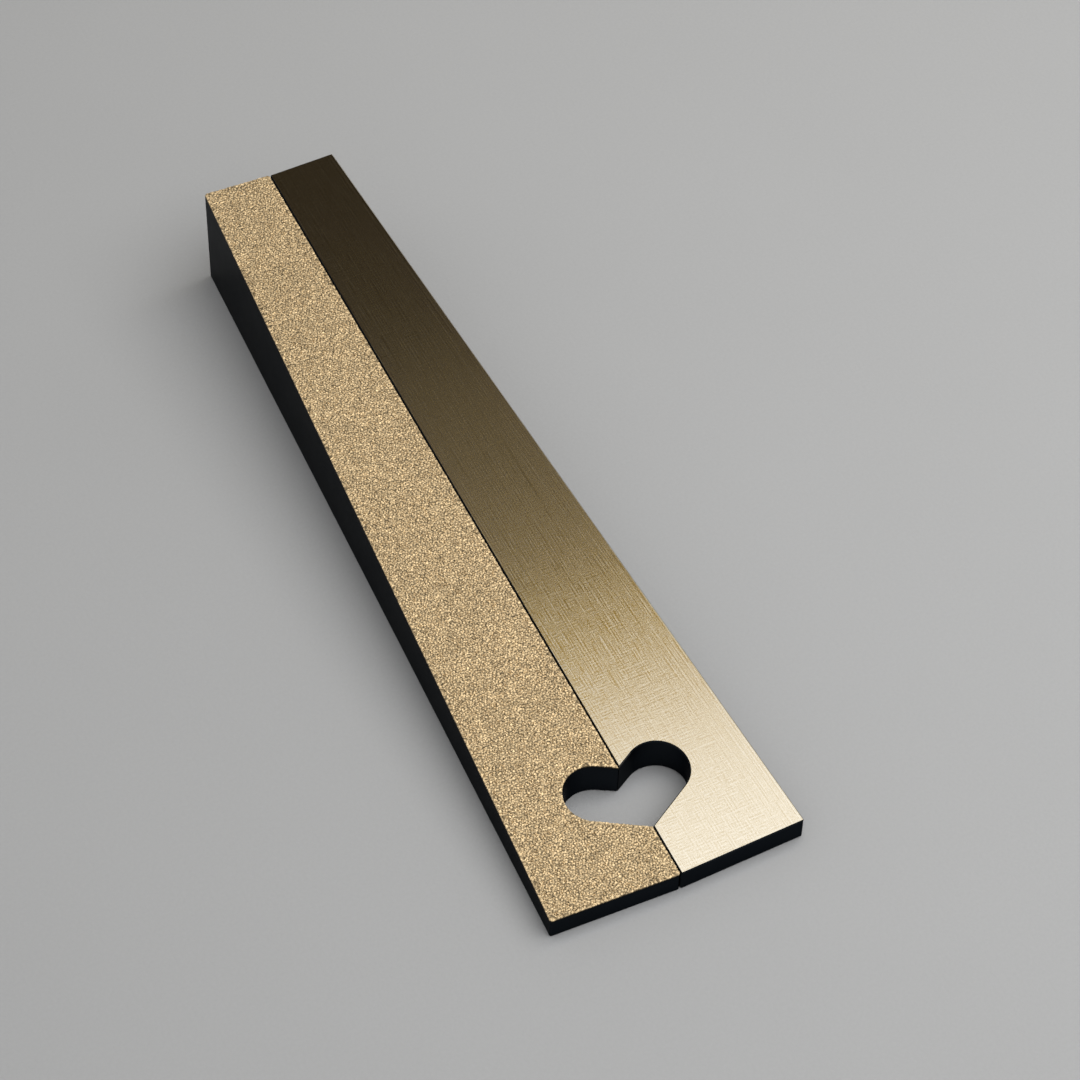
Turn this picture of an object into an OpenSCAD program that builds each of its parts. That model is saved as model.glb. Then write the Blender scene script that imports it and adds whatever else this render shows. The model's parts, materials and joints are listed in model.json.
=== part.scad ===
// A pair of tapered steel hand-tool bars that lie side by side and form one wedge.
// X runs across the pair, with the seam at x = 0. Y runs along it, from the thin front end to
// the thick back end. Z is up, and the underside lies on z = 0.

/* [Bars] */
// Length of each bar, along the seam
bar_len = 120; // [90:1:180]
// Width of each bar at its thin front end
front_w = 17.05; // [15:0.05:24]
// Width of each bar at its thick back end
back_w = 9.4; // [9:0.05:14]
// Height at the thin front end
front_h = 3.1; // [2.8:0.05:5]
// Height at the thick back end
back_h = 15.3; // [13:0.1:20]
// Hairline gap between the two mating faces
seam_gap = 0.1; // [0.06:0.01:0.2]
// Break on the long and the cross edges
edge_break = 0.15; // [0.05:0.05:0.3]
// Break on the upright corners
corner_break = 0.25; // [0.1:0.05:0.4]

/* [Abrasive facing] */
// Thickness of the plated abrasive layer on the textured bar
facing_t = 0.25; // [0.15:0.05:0.4]

/* [Heart notch] */
// Radius of the round end of each half of the heart
lobe_r = 3.9; // [3:0.1:4.5]
// Distance of each lobe's centre from the seam
lobe_x = 4.3; // [3.5:0.1:5.5]
// Distance of each lobe's centre from the front end
lobe_y = 14.2; // [12:0.1:18]
// Angle of the notch's straight walls to the front end, in degrees
notch_angle = 30; // [20:1:40]

/* [Magnets] */
// Diameter of each disc magnet
magnet_d = 4; // [3:0.5:4.5]
// Thickness of each disc magnet
magnet_t = 3; // [2:0.5:4]
// Radial room for adhesive around a magnet
glue_gap = 0.05; // [0.03:0.01:0.1]
// How far a magnet sits below the mating face
magnet_inset = 0.1; // [0.05:0.05:0.3]

/* [Dowels] */
// Diameter of each locating dowel
dowel_d = 2.5; // [2:0.5:2.5]
// Length of each dowel
dowel_len = 10; // [8:1:12]
// Radial clearance of a dowel in the textured bar
slip_gap = 0.03; // [0.02:0.01:0.05]
// Depth left free beyond the end of a dowel
end_room = 0.5; // [0.3:0.1:1]

/* [Hidden] */
$fn = 96;
over = 1;                                                   // how far a cutter runs past a face
taper = asin((front_w - back_w) / 2 / bar_len);             // half the angle between a bar's sides
pitch = atan((back_h - front_h) / bar_len);                 // slope of the working faces
across = [cos(taper), sin(taper)];                          // along either end of the right bar
front_y = -(bar_len + back_w * sin(taper)) / 2;             // the seam's front end
face_x = seam_gap / 2;                                      // the right bar's mating face
lobe = [lobe_x, front_y + lobe_y];
FRONT = 0.27;                                               // stations, as shares of the length
MIDDLE = 0.55;
REAR = 0.82;
dowel_stations = [0.195, 0.915];
point_slope = 31;                                           // slope of the cone left by a drill's point
magnet_break = 0.2;                                         // break on a magnet's rims
dowel_break = 0.35;                                         // break on a dowel's rims
steel = [0.55, 0.55, 0.56];
dark = [0.14, 0.15, 0.17];
satin = [0.83, 0.78, 0.68];
grit = [0.70, 0.61, 0.47];
nickel = [0.72, 0.72, 0.74];

// Height of the sloping face at a distance y along the pair
function top_z(y) = front_h + (y - front_y) * tan(pitch);

// A share of the length, as a distance along the pair
function along(share) = front_y + share * bar_len;

// The right bar's four corners seen from above, from the seam's front end and anticlockwise
seam_front = [face_x, front_y];
seam_back = [face_x, front_y + bar_len];
outline = [seam_front, seam_front + front_w * across, seam_back + back_w * across, seam_back];

module mirrored() {
    mirror([1, 0, 0]) children();
}

// The sloping slab from height z(y) - high down to z(y) - low, or down to the ground
module slab(high, low) {
    y0 = front_y - over;
    y1 = front_y + bar_len + over;
    rotate([90, 0, 90]) translate([0, 0, -over]) linear_extrude(front_w + 2 * over)
        polygon([
            [y0, is_undef(low) ? 0 : top_z(y0) - low / cos(pitch)],
            [y1, is_undef(low) ? 0 : top_z(y1) - low / cos(pitch)],
            [y1, top_z(y1) - high / cos(pitch)],
            [y0, top_z(y0) - high / cos(pitch)],
        ]);
}

// A square rod turned onto its edge along the line from a to b, which cuts a flat of leg size
module edge_cut(a, b, leg) {
    run = b - a;
    lean = acos(run.z / norm(run));
    turn = run.x == 0 && run.y == 0 ? 0 : atan2(run.y, run.x);
    translate((a + b) / 2) rotate([0, lean, turn]) rotate([0, 0, 45])
        cube([leg * sqrt(2), leg * sqrt(2), norm(run) + 2 * over], center = true);
}

// Breaks along the four sides of the right bar's outline, on the ground or on the slope
module ring_breaks(on_slope) {
    for (i = [0:3]) {
        a = outline[i];
        b = outline[(i + 1) % 4];
        edge_cut(
            [a.x, a.y, on_slope ? top_z(a.y) : 0],
            [b.x, b.y, on_slope ? top_z(b.y) : 0],
            edge_break
        );
    }
}

module corner_breaks() {
    for (p = outline) edge_cut([p.x, p.y, 0], [p.x, p.y, back_h], corner_break);
}

// Half of the heart: a round-ended slot that runs in from the mating face at an angle
module notch() {
    run = (lobe_x + lobe_r) / cos(notch_angle) + over;
    translate([lobe.x, lobe.y, -over]) {
        cylinder(r = lobe_r, h = back_h);
        rotate([0, 0, notch_angle]) translate([-run, -lobe_r, 0]) cube([run, 2 * lobe_r, back_h]);
    }
}

// The break round the notch's rim, with the rim's face on z = 0 and the bar below it. Its flank
// starts inside the notch, so that it crosses the notch's wall cleanly.
module rim_break() {
    run = (lobe_x + lobe_r) / cos(notch_angle) + over;
    inner = lobe_r - edge_break;
    outer = lobe_r + 2 * edge_break;
    translate([0, 0, -2 * edge_break]) cylinder(r1 = inner, r2 = outer, h = 3 * edge_break);
    rotate([0, 0, notch_angle]) rotate([90, 0, -90]) linear_extrude(run)
        polygon([
            [-inner, -2 * edge_break], [inner, -2 * edge_break],
            [outer, edge_break], [-outer, edge_break],
        ]);
}

module top_rim_break() {
    translate([lobe.x, lobe.y, top_z(lobe.y)]) rotate([pitch, 0, 0]) rim_break();
}

module bottom_rim_break() {
    translate([lobe.x, lobe.y, 0]) mirror([0, 0, 1]) rim_break();
}

// Puts its children on the right bar's mating face at a share of the length and at half the
// local height, turned so that +Z points into that bar
module at_station(share) {
    y = along(share);
    translate([face_x, y, top_z(y) / 2]) rotate([0, 90, 0]) children();
}

module magnet_pockets() {
    for (share = [FRONT, MIDDLE, REAR]) at_station(share)
        translate([0, 0, -over]) cylinder(d = magnet_d + 2 * glue_gap, h = magnet_inset + magnet_t + over);
}

// Blind drilled holes for the dowels, with the cone that the drill's point leaves
module dowel_holes(radial_gap, depth) {
    r = dowel_d / 2 + radial_gap;
    for (share = dowel_stations) at_station(share) {
        translate([0, 0, -over]) cylinder(r = r, h = depth + over);
        translate([0, 0, depth]) cylinder(r1 = r, r2 = 0, h = r * tan(point_slope));
    }
}

// One bar, on the right, with its sloping face lowered by drop and its children cut from it
module bar(drop) {
    difference() {
        intersection() {
            linear_extrude(back_h + over) polygon(outline);
            slab(drop);
        }
        notch();
        magnet_pockets();
        corner_breaks();
        ring_breaks(false);
        bottom_rim_break();
        children();
    }
}

module textured_bar() {
    color(dark) mirrored() bar(facing_t)
        dowel_holes(slip_gap, dowel_len / 2 + seam_gap / 2 + end_room);
}

module abrasive_facing() {
    color(grit) mirrored() difference() {
        intersection() {
            linear_extrude(back_h + over) polygon(outline);
            slab(0, facing_t);
        }
        notch();
        corner_breaks();
    }
}

module satin_bar() {
    color(satin) bar(0) {
        ring_breaks(true);
        top_rim_break();
        dowel_holes(0, dowel_len / 2 - seam_gap / 2);
    }
}

// A disc with its rims broken, standing on z = 0
module disc(d, h, break) {
    rotate_extrude()
        polygon([
            [0, 0], [d / 2 - break, 0], [d / 2, break],
            [d / 2, h - break], [d / 2 - break, h], [0, h],
        ]);
}

module magnet(share) {
    color(nickel) at_station(share) translate([0, 0, magnet_inset]) disc(magnet_d, magnet_t, magnet_break);
}

// Half of each dowel stands out of the right bar into the left one
module dowel(share) {
    color(steel) at_station(share)
        translate([0, 0, -dowel_len / 2 - seam_gap / 2]) disc(dowel_d, dowel_len, dowel_break);
}

textured_bar();
abrasive_facing();
satin_bar();
mirrored() magnet(FRONT);  // textured_magnet_front
mirrored() magnet(MIDDLE);  // textured_magnet_middle
mirrored() magnet(REAR);  // textured_magnet_rear
magnet(FRONT);  // satin_magnet_front
magnet(MIDDLE);  // satin_magnet_middle
magnet(REAR);  // satin_magnet_rear
dowel(dowel_stations[0]);  // front_dowel
dowel(dowel_stations[1]);  // rear_dowel
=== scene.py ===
"""Looks of a pair of tapered steel bars, one gritty and one satin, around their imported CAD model."""

import json
import math

import bpy
import numpy as np
from mathutils import Matrix, Vector
from mathutils.geometry import delaunay_2d_cdt


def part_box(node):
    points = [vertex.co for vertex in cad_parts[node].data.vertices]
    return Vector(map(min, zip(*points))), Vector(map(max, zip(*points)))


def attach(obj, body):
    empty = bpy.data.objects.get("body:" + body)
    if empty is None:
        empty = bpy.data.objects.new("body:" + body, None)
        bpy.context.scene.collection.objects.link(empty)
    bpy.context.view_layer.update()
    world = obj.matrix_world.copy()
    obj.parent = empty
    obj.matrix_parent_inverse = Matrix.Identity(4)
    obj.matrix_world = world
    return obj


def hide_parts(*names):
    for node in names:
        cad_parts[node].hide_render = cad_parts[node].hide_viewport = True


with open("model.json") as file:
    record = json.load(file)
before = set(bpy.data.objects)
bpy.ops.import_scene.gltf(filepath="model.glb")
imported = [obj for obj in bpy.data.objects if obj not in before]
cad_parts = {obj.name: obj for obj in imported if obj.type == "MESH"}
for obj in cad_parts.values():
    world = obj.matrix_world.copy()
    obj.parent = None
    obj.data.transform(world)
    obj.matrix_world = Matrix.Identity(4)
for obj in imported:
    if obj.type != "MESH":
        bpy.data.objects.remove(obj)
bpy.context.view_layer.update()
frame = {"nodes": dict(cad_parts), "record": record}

MM = 0.001
NODES = frame["nodes"]
RECORD = frame["record"]
MOUNTS = {m["name"]: m for m in RECORD["mounts"]}

# The sloping working face, as a point on it and its normal
FACE_POINT = Vector(MOUNTS["satin_working_face"]["pos_m"])
FACE_NORMAL = Vector(MOUNTS["satin_working_face"]["axis"]).normalized()
FRONT_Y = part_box("satin_bar")[0][1]
BACK_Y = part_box("satin_bar")[1][1]

# Camera
CAMERA_AZIMUTH = -27.69
CAMERA_ELEVATION = 48.53
CAMERA_ROLL = 1.49
CAMERA_DISTANCE = 460.8 * MM
CAMERA_TARGET = Vector((9.8, -3.23, 0)) * MM
CAMERA_LENS = 118.7

# Light
SOFTBOX_HEIGHT = 400 * MM
SOFTBOX_WIDTH = 560 * MM
SOFTBOX_DEPTH = 560 * MM
SOFTBOX_SHIFT = 80 * MM         # how far its middle lies to the right of the place that is mirrored
SOFTBOX_COLOUR = (2.42, 2.42, 2.42)
BRIGHT_DEPTH = 110 * MM         # depth of its back part, which has the full colour
FRONT_COLOUR = (1.65, 1.65, 1.65)
RIM_COLOUR = (1.18, 0.84, 0.187)
SPILL_COLOUR = (0.155, 0.125, 0.073)
WHITE_TO = 0.174                # share of the length where the satin face's reflection leaves the softbox,
RIM_TO = 0.319                  # where it leaves the softbox's warm far rim,
SPILL_TO = 0.66                 # and where it leaves the faint spill beyond that
ROOM_COLOUR = (0.45, 0.45, 0.45)
FLAG_COLOUR = (0.038, 0.027, 0.012)
FLAG_AT = 0.9                   # share of the length whose reflection looks at the dark flag's centre
FLAG_INNER = 14                 # degrees round the flag's centre that are fully dark
FLAG_OUTER = 30

# Hatch of the satin face: angle to the bar in degrees, pitch and length of each family of lines
LINES_ALONG = (-0.8, 0.40 * MM, 2.4 * MM)
LINES_ACROSS = (89.0, 0.44 * MM, 1.0 * MM)
LINES_BESIDE_EDGE = (-3.6, 0.40 * MM, 4 * MM)
LINE_WANDER = 9.0               # how far noise shifts the lines, in radians
EDGE_BAND = 6 * MM              # width of the band beside the outer edge where the longer lines win
TURN_FROM, TURN_TO = 0.18, 0.30 # shares of the length between which the lines along the bar take over
FADE_FROM, FADE_TO = 0.22, 0.46 # shares of the length between which the hatch fades
DEPTH_FRONT = 0.75              # strength of the hatch before it fades,
DEPTH_BACK = 0.2                # and after that
GRAIN_SHARE = 3.2               # strength of the fine grain against the lines

# Grit
GRAIN_PITCH = 0.34 * MM
GRAIN_RADIUS = 0.113 * MM
GRAIN_LEAN = 0.145              # spread of the tilt of a crystal, as a share of its full height
GRAIN_TONES = (0.70, 1.0)       # range of the crystals' tone, with 0 as the bond's colour, painted near-black as shade, and 1 as CRYSTAL
GRAIN_SINK = 0.09 * MM          # how far the bond lies below the working face
GRAIN_RISE = 0.02 * MM          # how far a crystal of full height stands above it
RIM_STEP = 0.16 * MM            # spacing of the points along the facing's edge
RIM_WEAR = 0.07 * MM            # how far that edge is worn back at most


# ---------------------------------------------------------------- geometry helpers

def face_height(y):
    """Height of the working face at a distance y along the pair."""
    return FACE_POINT.z - (y - FACE_POINT.y) * FACE_NORMAL.y / FACE_NORMAL.z


def station_at(share):
    """Distance along the pair at a share of the bars' length."""
    return FRONT_Y + share * (BACK_Y - FRONT_Y)


def camera_axes():
    """The camera's right, up and backward directions."""
    azimuth, elevation, roll = map(math.radians, (CAMERA_AZIMUTH, CAMERA_ELEVATION, CAMERA_ROLL))
    back = Vector((
        math.sin(azimuth) * math.cos(elevation),
        -math.cos(azimuth) * math.cos(elevation),
        math.sin(elevation),
    ))
    right = (-back).cross(Vector((0, 0, 1))).normalized()
    up = right.cross(-back)
    return (
        right * math.cos(roll) + up * math.sin(roll),
        up * math.cos(roll) - right * math.sin(roll),
        back,
    )


def mirrored_sight(share):
    """(point on the satin face at a share of its length, the direction that it mirrors to the camera)"""
    y = station_at(share)
    low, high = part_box("satin_bar")
    point = Vector(((low[0] + high[0]) / 2, y, face_height(y)))
    eye = CAMERA_TARGET + camera_axes()[2] * CAMERA_DISTANCE
    sight = (eye - point).normalized()
    return point, 2 * sight.dot(FACE_NORMAL) * FACE_NORMAL - sight


# ---------------------------------------------------------------- material helpers

class Graph:
    """A short way to write a node tree. A value that is a socket is linked, and any other is set."""

    def __init__(self, tree):
        self.tree = tree
        tree.nodes.clear()

    def add(self, kind, inputs=None, **settings):
        node = self.tree.nodes.new(kind)
        for name, value in settings.items():
            setattr(node, name, value)
        for name, value in (inputs or {}).items():
            self.put(node.inputs[name], value)
        return node

    def put(self, socket, value):
        if isinstance(value, bpy.types.NodeSocket):
            self.tree.links.new(value, socket)
        elif socket.type == "RGBA" and len(value) == 3:
            socket.default_value = (*value, 1)
        else:
            socket.default_value = value

    def place(self):
        """Object coordinates, which stay with a piece when its body moves."""
        return self.add("ShaderNodeTexCoord").outputs["Object"]

    def math(self, operation, *values, clamp=False):
        node = self.add("ShaderNodeMath", operation=operation, use_clamp=clamp)
        for socket, value in zip(node.inputs, values):
            self.put(socket, value)
        return node.outputs[0]

    def noise(self, vector, size, detail, roughness=0.5):
        """Noise from 0 to 1 with features of a size in metres, or of one size along each axis."""
        sizes = size if isinstance(size, tuple) else (size,) * 3
        scaled = self.add("ShaderNodeMapping", {"Vector": vector, "Scale": tuple(1 / s for s in sizes)})
        settings = {"Vector": scaled.outputs[0], "Scale": 1.0, "Detail": detail, "Roughness": roughness}
        return self.add("ShaderNodeTexNoise", settings).outputs["Fac"]

    def remap(self, value, low, high, to_low, to_high):
        """value from low to high becomes to_low to to_high, smoothly and clamped."""
        settings = {"Value": value, "From Min": low, "From Max": high, "To Min": to_low, "To Max": to_high}
        return self.add("ShaderNodeMapRange", settings, interpolation_type="SMOOTHSTEP").outputs[0]

    def mix(self, share, first, second, blend="MIX"):
        node = self.add("ShaderNodeMix", data_type="RGBA", blend_type=blend)
        self.put(node.inputs[0], share)
        self.put(node.inputs[6], first)
        self.put(node.inputs[7], second)
        return node.outputs[2]

    def shade(self, value, low, high):
        """A grey that multiplies a colour, from a value of 0 to 1."""
        level = self.math("MULTIPLY_ADD", value, high - low, low)
        return self.add("ShaderNodeCombineColor", {"Red": level, "Green": level, "Blue": level}).outputs[0]

    def bump(self, height, depth):
        """A normal from a height of 0 to 1 that stands for a depth in metres."""
        return self.add("ShaderNodeBump", {"Height": height, "Distance": depth, "Strength": 1.0}).outputs[0]


def material(name):
    made = bpy.data.materials.new(name)
    made.use_nodes = True
    return made, Graph(made.node_tree)


def surface(graph, colour, roughness, normal, metallic=1.0):
    inputs = {"Base Color": colour, "Metallic": metallic, "Roughness": roughness, "Normal": normal}
    shader = graph.add("ShaderNodeBsdfPrincipled", inputs)
    graph.add("ShaderNodeOutputMaterial", {"Surface": shader.outputs[0]})
    return shader


# ---------------------------------------------------------------- materials

SATIN_DARK = (0.321, 0.277, 0.201)
SATIN_PALE = (0.497, 0.467, 0.403)
# Near-black colour of the steel's sides: painted shade, standing for the shadowed floor that they mirror
SIDE_PAINTED_SHADE = (0.015, 0.018, 0.022)
SIDE_TINT = 0.45                # how much of its grazing reflection the dark steel keeps
# Pale colour of the satin bar's right-hand broken edges: a painted highlight line
EDGE_PAINTED_HIGHLIGHT = (0.70, 0.65, 0.54)
CRYSTAL = (0.98, 0.76, 0.458)
# Colour of the bond between the crystals: near-black, painted shade in the gaps
BOND_PAINTED_SHADE = (0.03, 0.022, 0.013)
NICKEL = (0.66, 0.66, 0.67)
DOWEL = (0.50, 0.50, 0.51)


def ground_steel_painted_shade(graph, place):
    """(colour, roughness, height) of the ground sides, with fine lines along the bar; their near-black
    colour is painted shade.
    """
    lines = graph.noise(place, (0.08 * MM, 9 * MM, 0.08 * MM), detail=3)
    cloud = graph.noise(place, 6 * MM, detail=3)
    colour = graph.mix(1.0, SIDE_PAINTED_SHADE, graph.shade(lines, 0.75, 1.25), "MULTIPLY")
    colour = graph.mix(1.0, colour, graph.shade(cloud, 0.8, 1.2), "MULTIPLY")
    roughness = graph.math("MULTIPLY_ADD", cloud, 0.12, 0.27)
    return colour, roughness, lines


def side_steel():
    """The textured bar's body: ground steel all over, painted near-black as shade."""
    made, graph = material("painted_shade_ground_steel")
    colour, roughness, lines = ground_steel_painted_shade(graph, graph.place())
    shader = surface(graph, colour, roughness, graph.bump(lines, 0.0015 * MM))
    graph.put(shader.inputs["Specular Tint"], (SIDE_TINT,) * 3)
    return made


def scratches(graph, place, angle, pitch, length):
    """Straight broken lines, from -1 to 1 across each, at an angle to the bar in the plane of its face."""
    turned = graph.add("ShaderNodeVectorRotate", {"Vector": place, "Angle": math.radians(angle)},
                       rotation_type="Z_AXIS").outputs[0]
    beside = graph.add("ShaderNodeSeparateXYZ", {"Vector": turned}).outputs[0]
    wander = graph.noise(turned, (1.7 * pitch, 12 * length, 20 * MM), detail=1)
    even = graph.math("MULTIPLY", beside, math.tau / pitch)
    wave = graph.math("SINE", graph.math("MULTIPLY_ADD", wander, LINE_WANDER, even))
    line = graph.math("MULTIPLY", wave, graph.math("ABSOLUTE", wave))
    dash = graph.remap(graph.noise(turned, (pitch, length, 20 * MM), detail=0), 0.40, 0.60, 0, 1)
    return graph.math("MULTIPLY", line, dash)


def outer_side():
    """(point on the satin bar's outer side, that side's normal)"""
    side = max(NODES["satin_bar"].data.polygons, key=lambda polygon: polygon.area * polygon.normal.x)
    return side.center, side.normal


def hatch(graph, place):
    """How pale the satin face is, from 0 to 1: broken lines both ways over a fine grain."""
    families = (LINES_ALONG, LINES_ACROSS, LINES_BESIDE_EDGE)
    along, across, beside_edge = (scratches(graph, place, *family) for family in families)
    grain = graph.noise(place, 0.10 * MM, detail=1)

    # The two ways of brushing take turns in patches, and lines along the bar win behind the heart
    patches = graph.noise(place, (1.6 * MM, 2.2 * MM, 5 * MM), detail=1)
    share = graph.remap(patches, 0.40, 0.60, 0.30, 0.60)
    station = graph.add("ShaderNodeSeparateXYZ", {"Vector": place}).outputs[1]
    behind = graph.remap(station, station_at(TURN_FROM), station_at(TURN_TO), 0, 0.3)
    share = graph.math("ADD", share, behind)
    lines = graph.add("ShaderNodeMix", {0: share, 2: across, 3: along}).outputs[0]

    # Longer lines win beside the outer edge
    point, outward = outer_side()
    sideways = graph.add("ShaderNodeVectorMath", {0: place, 1: tuple(outward)}, operation="DOT_PRODUCT")
    edge = point.dot(outward)
    beside = graph.remap(sideways.outputs["Value"], edge - EDGE_BAND, edge - MM, 0, 0.85)
    lines = graph.add("ShaderNodeMix", {0: beside, 2: lines, 3: beside_edge}).outputs[0]

    relief = graph.math("MULTIPLY_ADD", graph.math("SUBTRACT", grain, 0.5), GRAIN_SHARE, lines)
    depth = graph.remap(station, station_at(FADE_FROM), station_at(FADE_TO), DEPTH_FRONT, DEPTH_BACK)
    return graph.math("MULTIPLY_ADD", relief, depth, 0.5, clamp=True)


def satin_steel():
    """The satin bar: cross-hatched on its working face, ground steel painted near-black as shade on its
    sides, with a painted highlight on its right-hand broken edges.
    """
    made, graph = material("satin_steel")
    place = graph.place()
    level = hatch(graph, place)
    satin = graph.mix(level, SATIN_DARK, SATIN_PALE)
    satin_rough = graph.math("MULTIPLY_ADD", level, 0.15, 0.105)

    # Which way a face looks tells apart the working face, its right-hand broken edges, which carry a painted
    # highlight, and the sides, which carry painted shade
    # The sides take the near-black ground steel, whose colour is painted shade
    dark, dark_rough, lines = ground_steel_painted_shade(graph, place)
    normal = graph.add("ShaderNodeNewGeometry").outputs["True Normal"]
    up = graph.add("ShaderNodeVectorMath", {0: normal, 1: tuple(FACE_NORMAL)}, operation="DOT_PRODUCT")
    right = graph.add("ShaderNodeVectorMath", {0: normal, 1: (1, 0, 0)}, operation="DOT_PRODUCT")
    on_face = graph.remap(up.outputs["Value"], 0.90, 0.98, 0, 1)
    painted_highlight_edge = graph.math(
        "MULTIPLY",
        graph.remap(up.outputs["Value"], 0.35, 0.60, 0, 1),
        graph.remap(right.outputs["Value"], 0.30, 0.60, 0, 1),
    )
    colour = graph.mix(painted_highlight_edge, dark, EDGE_PAINTED_HIGHLIGHT)
    colour = graph.mix(on_face, colour, satin)
    roughness = graph.add("ShaderNodeMix", {0: on_face, 2: dark_rough, 3: satin_rough}).outputs[0]
    height = graph.add("ShaderNodeMix", {0: on_face, 2: lines, 3: level}).outputs[0]
    shader = surface(graph, colour, roughness, graph.bump(height, 0.002 * MM))
    graph.put(shader.inputs["Specular Tint"], (SIDE_TINT,) * 3)
    return made


def abrasive():
    """Plated grit: pale crystals in a bond whose near-black colour is painted shade in the gaps. The mesh's
    tone says how much each point is crystal.
    """
    made, graph = material("abrasive_grit")
    place = graph.place()
    tone = graph.add("ShaderNodeAttribute", attribute_name="tone").outputs["Fac"]
    speck = graph.noise(place, 0.10 * MM, detail=2)
    cloud = graph.noise(place, 5 * MM, detail=3)
    colour = graph.mix(tone, BOND_PAINTED_SHADE, CRYSTAL)
    colour = graph.mix(1.0, colour, graph.shade(speck, 0.7, 1.3), "MULTIPLY")
    colour = graph.mix(1.0, colour, graph.shade(cloud, 0.92, 1.08), "MULTIPLY")
    roughness = graph.math("MULTIPLY_ADD", speck, 0.25, 0.41)
    surface(graph, colour, roughness, graph.bump(speck, 0.012 * MM))
    return made


def nickel():
    """The magnets' plating."""
    made, graph = material("nickel_plate")
    place = graph.place()
    cloud = graph.noise(place, 1.2 * MM, detail=3)
    speck = graph.noise(place, 0.09 * MM, detail=2)
    colour = graph.mix(1.0, NICKEL, graph.shade(cloud, 0.88, 1.12), "MULTIPLY")
    roughness = graph.math("MULTIPLY_ADD", cloud, 0.14, 0.12)
    surface(graph, colour, roughness, graph.bump(speck, 0.0008 * MM))
    return made


def dowel_steel():
    """The dowels: ground round, with fine rings."""
    made, graph = material("ground_dowel_steel")
    place = graph.place()
    rings = graph.noise(place, (0.06 * MM, 4 * MM, 4 * MM), detail=2)
    cloud = graph.noise(place, 1.5 * MM, detail=2)
    colour = graph.mix(1.0, DOWEL, graph.shade(cloud, 0.88, 1.12), "MULTIPLY")
    roughness = graph.math("MULTIPLY_ADD", rings, 0.14, 0.16)
    surface(graph, colour, roughness, graph.bump(rings, 0.001 * MM))
    return made


def paper():
    """The floor: pale, faintly cool paper."""
    made, graph = material("pale_paper")
    place = graph.place()
    fibre = graph.noise(place, 0.45 * MM, detail=4, roughness=0.7)
    cloud = graph.noise(place, 30 * MM, detail=2)
    colour = graph.mix(1.0, (0.47, 0.475, 0.48), graph.shade(fibre, 0.93, 1.07), "MULTIPLY")
    colour = graph.mix(1.0, colour, graph.shade(cloud, 0.985, 1.015), "MULTIPLY")
    surface(graph, colour, 0.85, graph.bump(fibre, 0.02 * MM), metallic=0.0)
    return made


# ---------------------------------------------------------------- the grit

def facing_rim():
    """The corners of the abrasive facing's upper face, in order round it, as an array of x and y."""
    mesh = NODES["abrasive_facing"].data
    corner = {}
    uses = {}
    for polygon in mesh.polygons:
        if polygon.normal.dot(FACE_NORMAL) < 0.999:
            continue
        keys = []
        for i in polygon.vertices:
            point = mesh.vertices[i].co
            key = (round(point.x / MM, 4), round(point.y / MM, 4))
            corner[key] = (point.x, point.y)
            keys.append(key)
        for a, b in zip(keys, keys[1:] + keys[:1]):
            uses[a, b] = uses.get((a, b), 0) + 1
    follows = {a: b for a, b in uses if (b, a) not in uses}
    start = next(iter(follows))
    ring = [start]
    while follows[ring[-1]] != start:
        ring.append(follows[ring[-1]])
    return np.array([corner[k] for k in ring])


def cut_finely(ring, step):
    """The ring with points no further apart than step."""
    points = []
    for a, b in zip(ring, np.roll(ring, -1, axis=0)):
        pieces = max(1, math.ceil(np.linalg.norm(b - a) / step))
        points += [a + (b - a) * i / pieces for i in range(pieces)]
    return np.array(points)


def inward(ring):
    """Directions into a ring that runs anticlockwise: of length 1 where it is straight, and 0 at corners."""
    run = np.roll(ring, -1, axis=0) - np.roll(ring, 1, axis=0)
    run /= np.linalg.norm(run, axis=1)[:, None]
    before, after = np.roll(run, 2, axis=0), np.roll(run, -2, axis=0)
    straight = np.clip((before * after).sum(axis=1) * 4 - 3, 0, 1)
    return np.stack([-run[:, 1], run[:, 0]], axis=1) * straight[:, None]


def inside(points, ring, margin):
    """Which points lie inside the ring and further than margin from it."""
    x, y = points[:, 0], points[:, 1]
    odd = np.zeros(len(points), bool)
    near = np.full(len(points), 1e9)
    for a, b in zip(ring, np.roll(ring, -1, axis=0)):
        if a[1] != b[1]:
            crosses = (a[1] > y) != (b[1] > y)
            odd ^= crosses & (x < (b[0] - a[0]) * (y - a[1]) / (b[1] - a[1]) + a[0])
        run = b - a
        share = np.clip(((points - a) @ run) / (run @ run), 0, 1)
        near = np.minimum(near, np.linalg.norm(points - a - share[:, None] * run, axis=1))
    return odd & (near > margin)


def triangulate(points, ring_size):
    """Triangles over points, whose first ring_size are the closed ring that bounds them."""
    edges = [(i, (i + 1) % ring_size) for i in range(ring_size)]
    found = delaunay_2d_cdt([Vector(p / MM) for p in points], edges, [], 1, 1e-6)
    where = [source[0] for source in found[3]]
    return [[where[i] for i in face] for face in found[2]]


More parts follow.
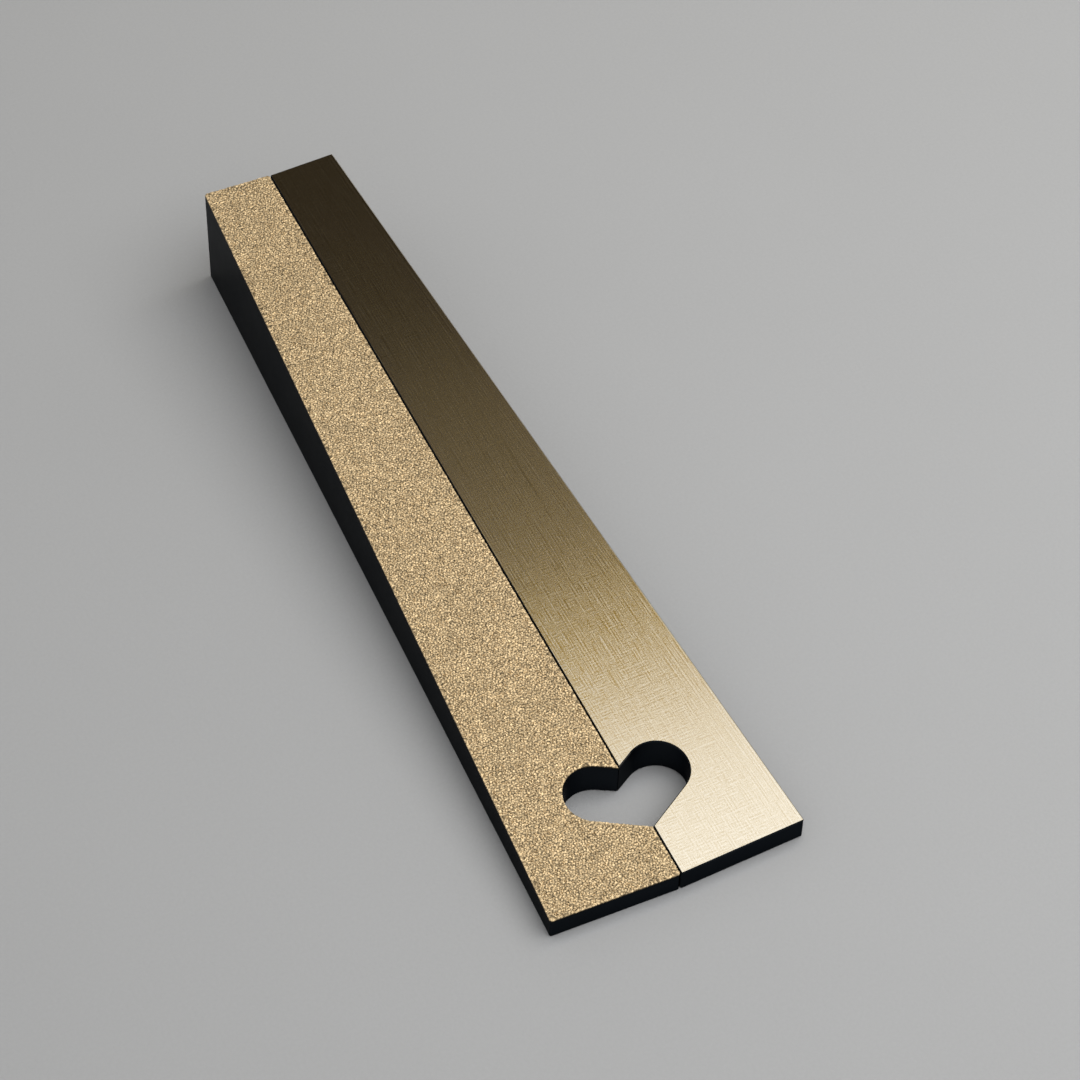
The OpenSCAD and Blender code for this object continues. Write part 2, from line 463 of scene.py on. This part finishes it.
def grit_points(ring, random):
    """(x and y, height above the bond from 0 to 1, tone) of the grit's points inside the ring."""
    low, high = ring.min(axis=0), ring.max(axis=0)
    rows = np.arange(low[1], high[1], GRAIN_PITCH * math.sqrt(3) / 2)
    columns = np.arange(low[0], high[0], GRAIN_PITCH)
    grid = np.array([
        (x + (row % 2) * GRAIN_PITCH / 2, y) for row, y in enumerate(rows) for x in columns
    ])
    grid += random.uniform(-0.4, 0.4, grid.shape) * GRAIN_PITCH
    grains = grid[inside(grid, ring, 1.15 * GRAIN_RADIUS + RIM_WEAR)]

    # Each grain is a small tilted plate of three or four corners
    count = len(grains)
    turn = random.uniform(0, math.tau, count)
    rise = random.uniform(0.45, 1.0, count)
    lean = random.normal(0, GRAIN_LEAN, (count, 2))
    size = random.uniform(0.6, 1.25, count) * GRAIN_RADIUS
    corners = np.where(random.random(count) < 0.5, 3, 4)
    tone = random.uniform(*GRAIN_TONES, count)
    points, heights, tones = [], [], []
    for i in range(count):
        for k in range(corners[i]):
            angle = turn[i] + math.tau * k / corners[i]
            out = np.array((math.cos(angle), math.sin(angle)))
            points.append(grains[i] + out * size[i])
            heights.append(rise[i] + float(lean[i] @ out))
            tones.append(tone[i])

    # The bond shows in the gaps, at the middles of the triangles between neighbouring grains, with low tones
    # that paint shade into them
    found = delaunay_2d_cdt([Vector(g / MM) for g in grains], [], [], 0, 1e-6)
    gaps = np.array([np.mean([found[0][i] for i in face], axis=0) for face in found[2]]) * MM
    gaps = gaps[inside(gaps, ring, 0.3 * GRAIN_RADIUS + RIM_WEAR)]
    points = np.concatenate([np.array(points), gaps])
    heights = np.concatenate([np.array(heights), random.uniform(0, 0.34, len(gaps))])
    tones = np.concatenate([np.array(tones), random.uniform(0, 0.42, len(gaps))])
    return points, np.clip(heights, 0, 1.15), tones


def grit_facing():
    """The abrasive facing as a closed layer whose top is a field of crystals."""
    random = np.random.default_rng(7)
    ring = cut_finely(facing_rim(), RIM_STEP)
    worn = ring + inward(ring) * random.uniform(0, RIM_WEAR, len(ring))[:, None]
    points, heights, tones = grit_points(ring, random)
    rim_count = len(worn)
    flat = np.concatenate([worn, points])
    rises = np.concatenate([random.uniform(0.1, 0.85, rim_count), heights])
    tones = np.concatenate([random.uniform(0.2, 1.0, rim_count), tones])

    top = []
    for (x, y), rise in zip(flat, rises):
        place = Vector((x, y, face_height(y)))
        top.append(place + FACE_NORMAL * (GRAIN_RISE - (GRAIN_SINK + GRAIN_RISE) * (1 - rise)))
    thickness = facing_thickness()
    foot = [
        Vector((x, y, face_height(y))) - FACE_NORMAL * thickness for x, y in ring
    ]
    faces = triangulate(flat, rim_count)
    shift = len(top)
    walls = []
    for i in range(rim_count):
        j = (i + 1) % rim_count
        walls.append([j, i, shift + i, shift + j])
    underside = [[shift + i for i in reversed(face)] for face in triangulate(ring, rim_count)]
    mesh = bpy.data.meshes.new("abrasive_grit")
    mesh.from_pydata([*top, *foot], [], faces + walls + underside)
    tone = mesh.attributes.new("tone", "FLOAT", "POINT")
    # The facing's walls and underside take the bond's near-black colour, painted shade
    tone.data.foreach_set("value", np.concatenate([tones, np.zeros(rim_count)]))
    mesh.validate()
    piece = bpy.data.objects.new("abrasive_grit", mesh)
    bpy.context.scene.collection.objects.link(piece)
    piece.data.materials.append(abrasive())
    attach(piece, "textured_half")
    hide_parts("abrasive_facing")


def facing_thickness():
    """The facing's thickness, square to the working face."""
    mesh = NODES["abrasive_facing"].data
    depths = [(v.co - FACE_POINT).dot(FACE_NORMAL) for v in mesh.vertices]
    return max(depths) - min(depths)


# ---------------------------------------------------------------- finishes on the CAD nodes

def finish_with(node, made):
    NODES[node].data.materials.clear()
    NODES[node].data.materials.append(made)


def finish_nodes():
    finish_with("textured_bar", side_steel())
    finish_with("satin_bar", satin_steel())
    plate = nickel()
    for half in ("textured", "satin"):
        for place in ("front", "middle", "rear"):
            finish_with(f"{half}_magnet_{place}", plate)
    ground = dowel_steel()
    for place in ("front", "rear"):
        finish_with(f"{place}_dowel", ground)


# ---------------------------------------------------------------- the studio

def floor():
    half = 3.0
    mesh = bpy.data.meshes.new("floor")
    corners = [(-half, -half, 0), (half, -half, 0), (half, half, 0), (-half, half, 0)]
    mesh.from_pydata(corners, [], [(0, 1, 2, 3)])
    ground = bpy.data.objects.new("floor", mesh)
    ground.location.z = -0.01 * MM
    bpy.context.scene.collection.objects.link(ground)
    mesh.materials.append(paper())


def overhead(name, near_y, far_y, x, colour):
    """A level light panel whose surface shines with a colour, in linear light."""
    lamp = bpy.data.lights.new(name, "AREA")
    lamp.shape = "RECTANGLE"
    lamp.size, lamp.size_y = SOFTBOX_WIDTH, far_y - near_y
    lamp.energy = math.pi * lamp.size * lamp.size_y
    lamp.color = colour
    light = bpy.data.objects.new(name, lamp)
    light.location = (x, (near_y + far_y) / 2, SOFTBOX_HEIGHT)
    light.visible_camera = False
    bpy.context.scene.collection.objects.link(light)


def softbox():
    """A softbox with a dimmer front, a warm far rim and a spill, placed by what the satin face mirrors."""
    edges = []
    for share in (WHITE_TO, RIM_TO, SPILL_TO):
        point, direction = mirrored_sight(share)
        edges.append(point + direction * ((SOFTBOX_HEIGHT - point.z) / direction.z))
    white_edge, rim_edge, spill_edge = edges
    x = white_edge.x + SOFTBOX_SHIFT
    bright_edge = white_edge.y - BRIGHT_DEPTH
    overhead("softbox", bright_edge, white_edge.y, x, SOFTBOX_COLOUR)
    overhead("softbox_front", white_edge.y - SOFTBOX_DEPTH, bright_edge, x, FRONT_COLOUR)
    overhead("softbox_rim", white_edge.y, rim_edge.y, x, RIM_COLOUR)
    overhead("softbox_spill", rim_edge.y, spill_edge.y, x, SPILL_COLOUR)


def room():
    """Pale soft light all round, with a dark flag where the satin face's back end mirrors it."""
    world = bpy.data.worlds.new("room")
    bpy.context.scene.world = world
    world.use_nodes = True
    graph = Graph(world.node_tree)
    towards = mirrored_sight(FLAG_AT)[1]
    sky = graph.add("ShaderNodeTexCoord").outputs["Generated"]
    near = graph.add("ShaderNodeVectorMath", {0: sky, 1: tuple(towards)}, operation="DOT_PRODUCT")
    inner, outer = (math.cos(math.radians(a)) for a in (FLAG_INNER, FLAG_OUTER))
    dark = graph.remap(near.outputs["Value"], outer, inner, 0, 1)
    colour = graph.mix(dark, ROOM_COLOUR, FLAG_COLOUR)
    light = graph.add("ShaderNodeBackground", {"Color": colour, "Strength": 1.0})
    graph.add("ShaderNodeOutputWorld", {"Surface": light.outputs[0]})


def camera():
    right, up, back = camera_axes()
    data = bpy.data.cameras.new("camera")
    data.sensor_width = 36
    data.lens = CAMERA_LENS
    data.clip_start, data.clip_end = 0.01, 20
    eye = bpy.data.objects.new("camera", data)
    turn = Matrix((right, up, back)).transposed()
    eye.matrix_world = Matrix.Translation(CAMERA_TARGET + back * CAMERA_DISTANCE) @ turn.to_4x4()
    bpy.context.scene.collection.objects.link(eye)
    bpy.context.scene.camera = eye


camera()
room()
softbox()
floor()
finish_nodes()
grit_facing()
bpy.context.scene.view_settings.view_transform = "Standard"

bpy.context.view_layer.update()
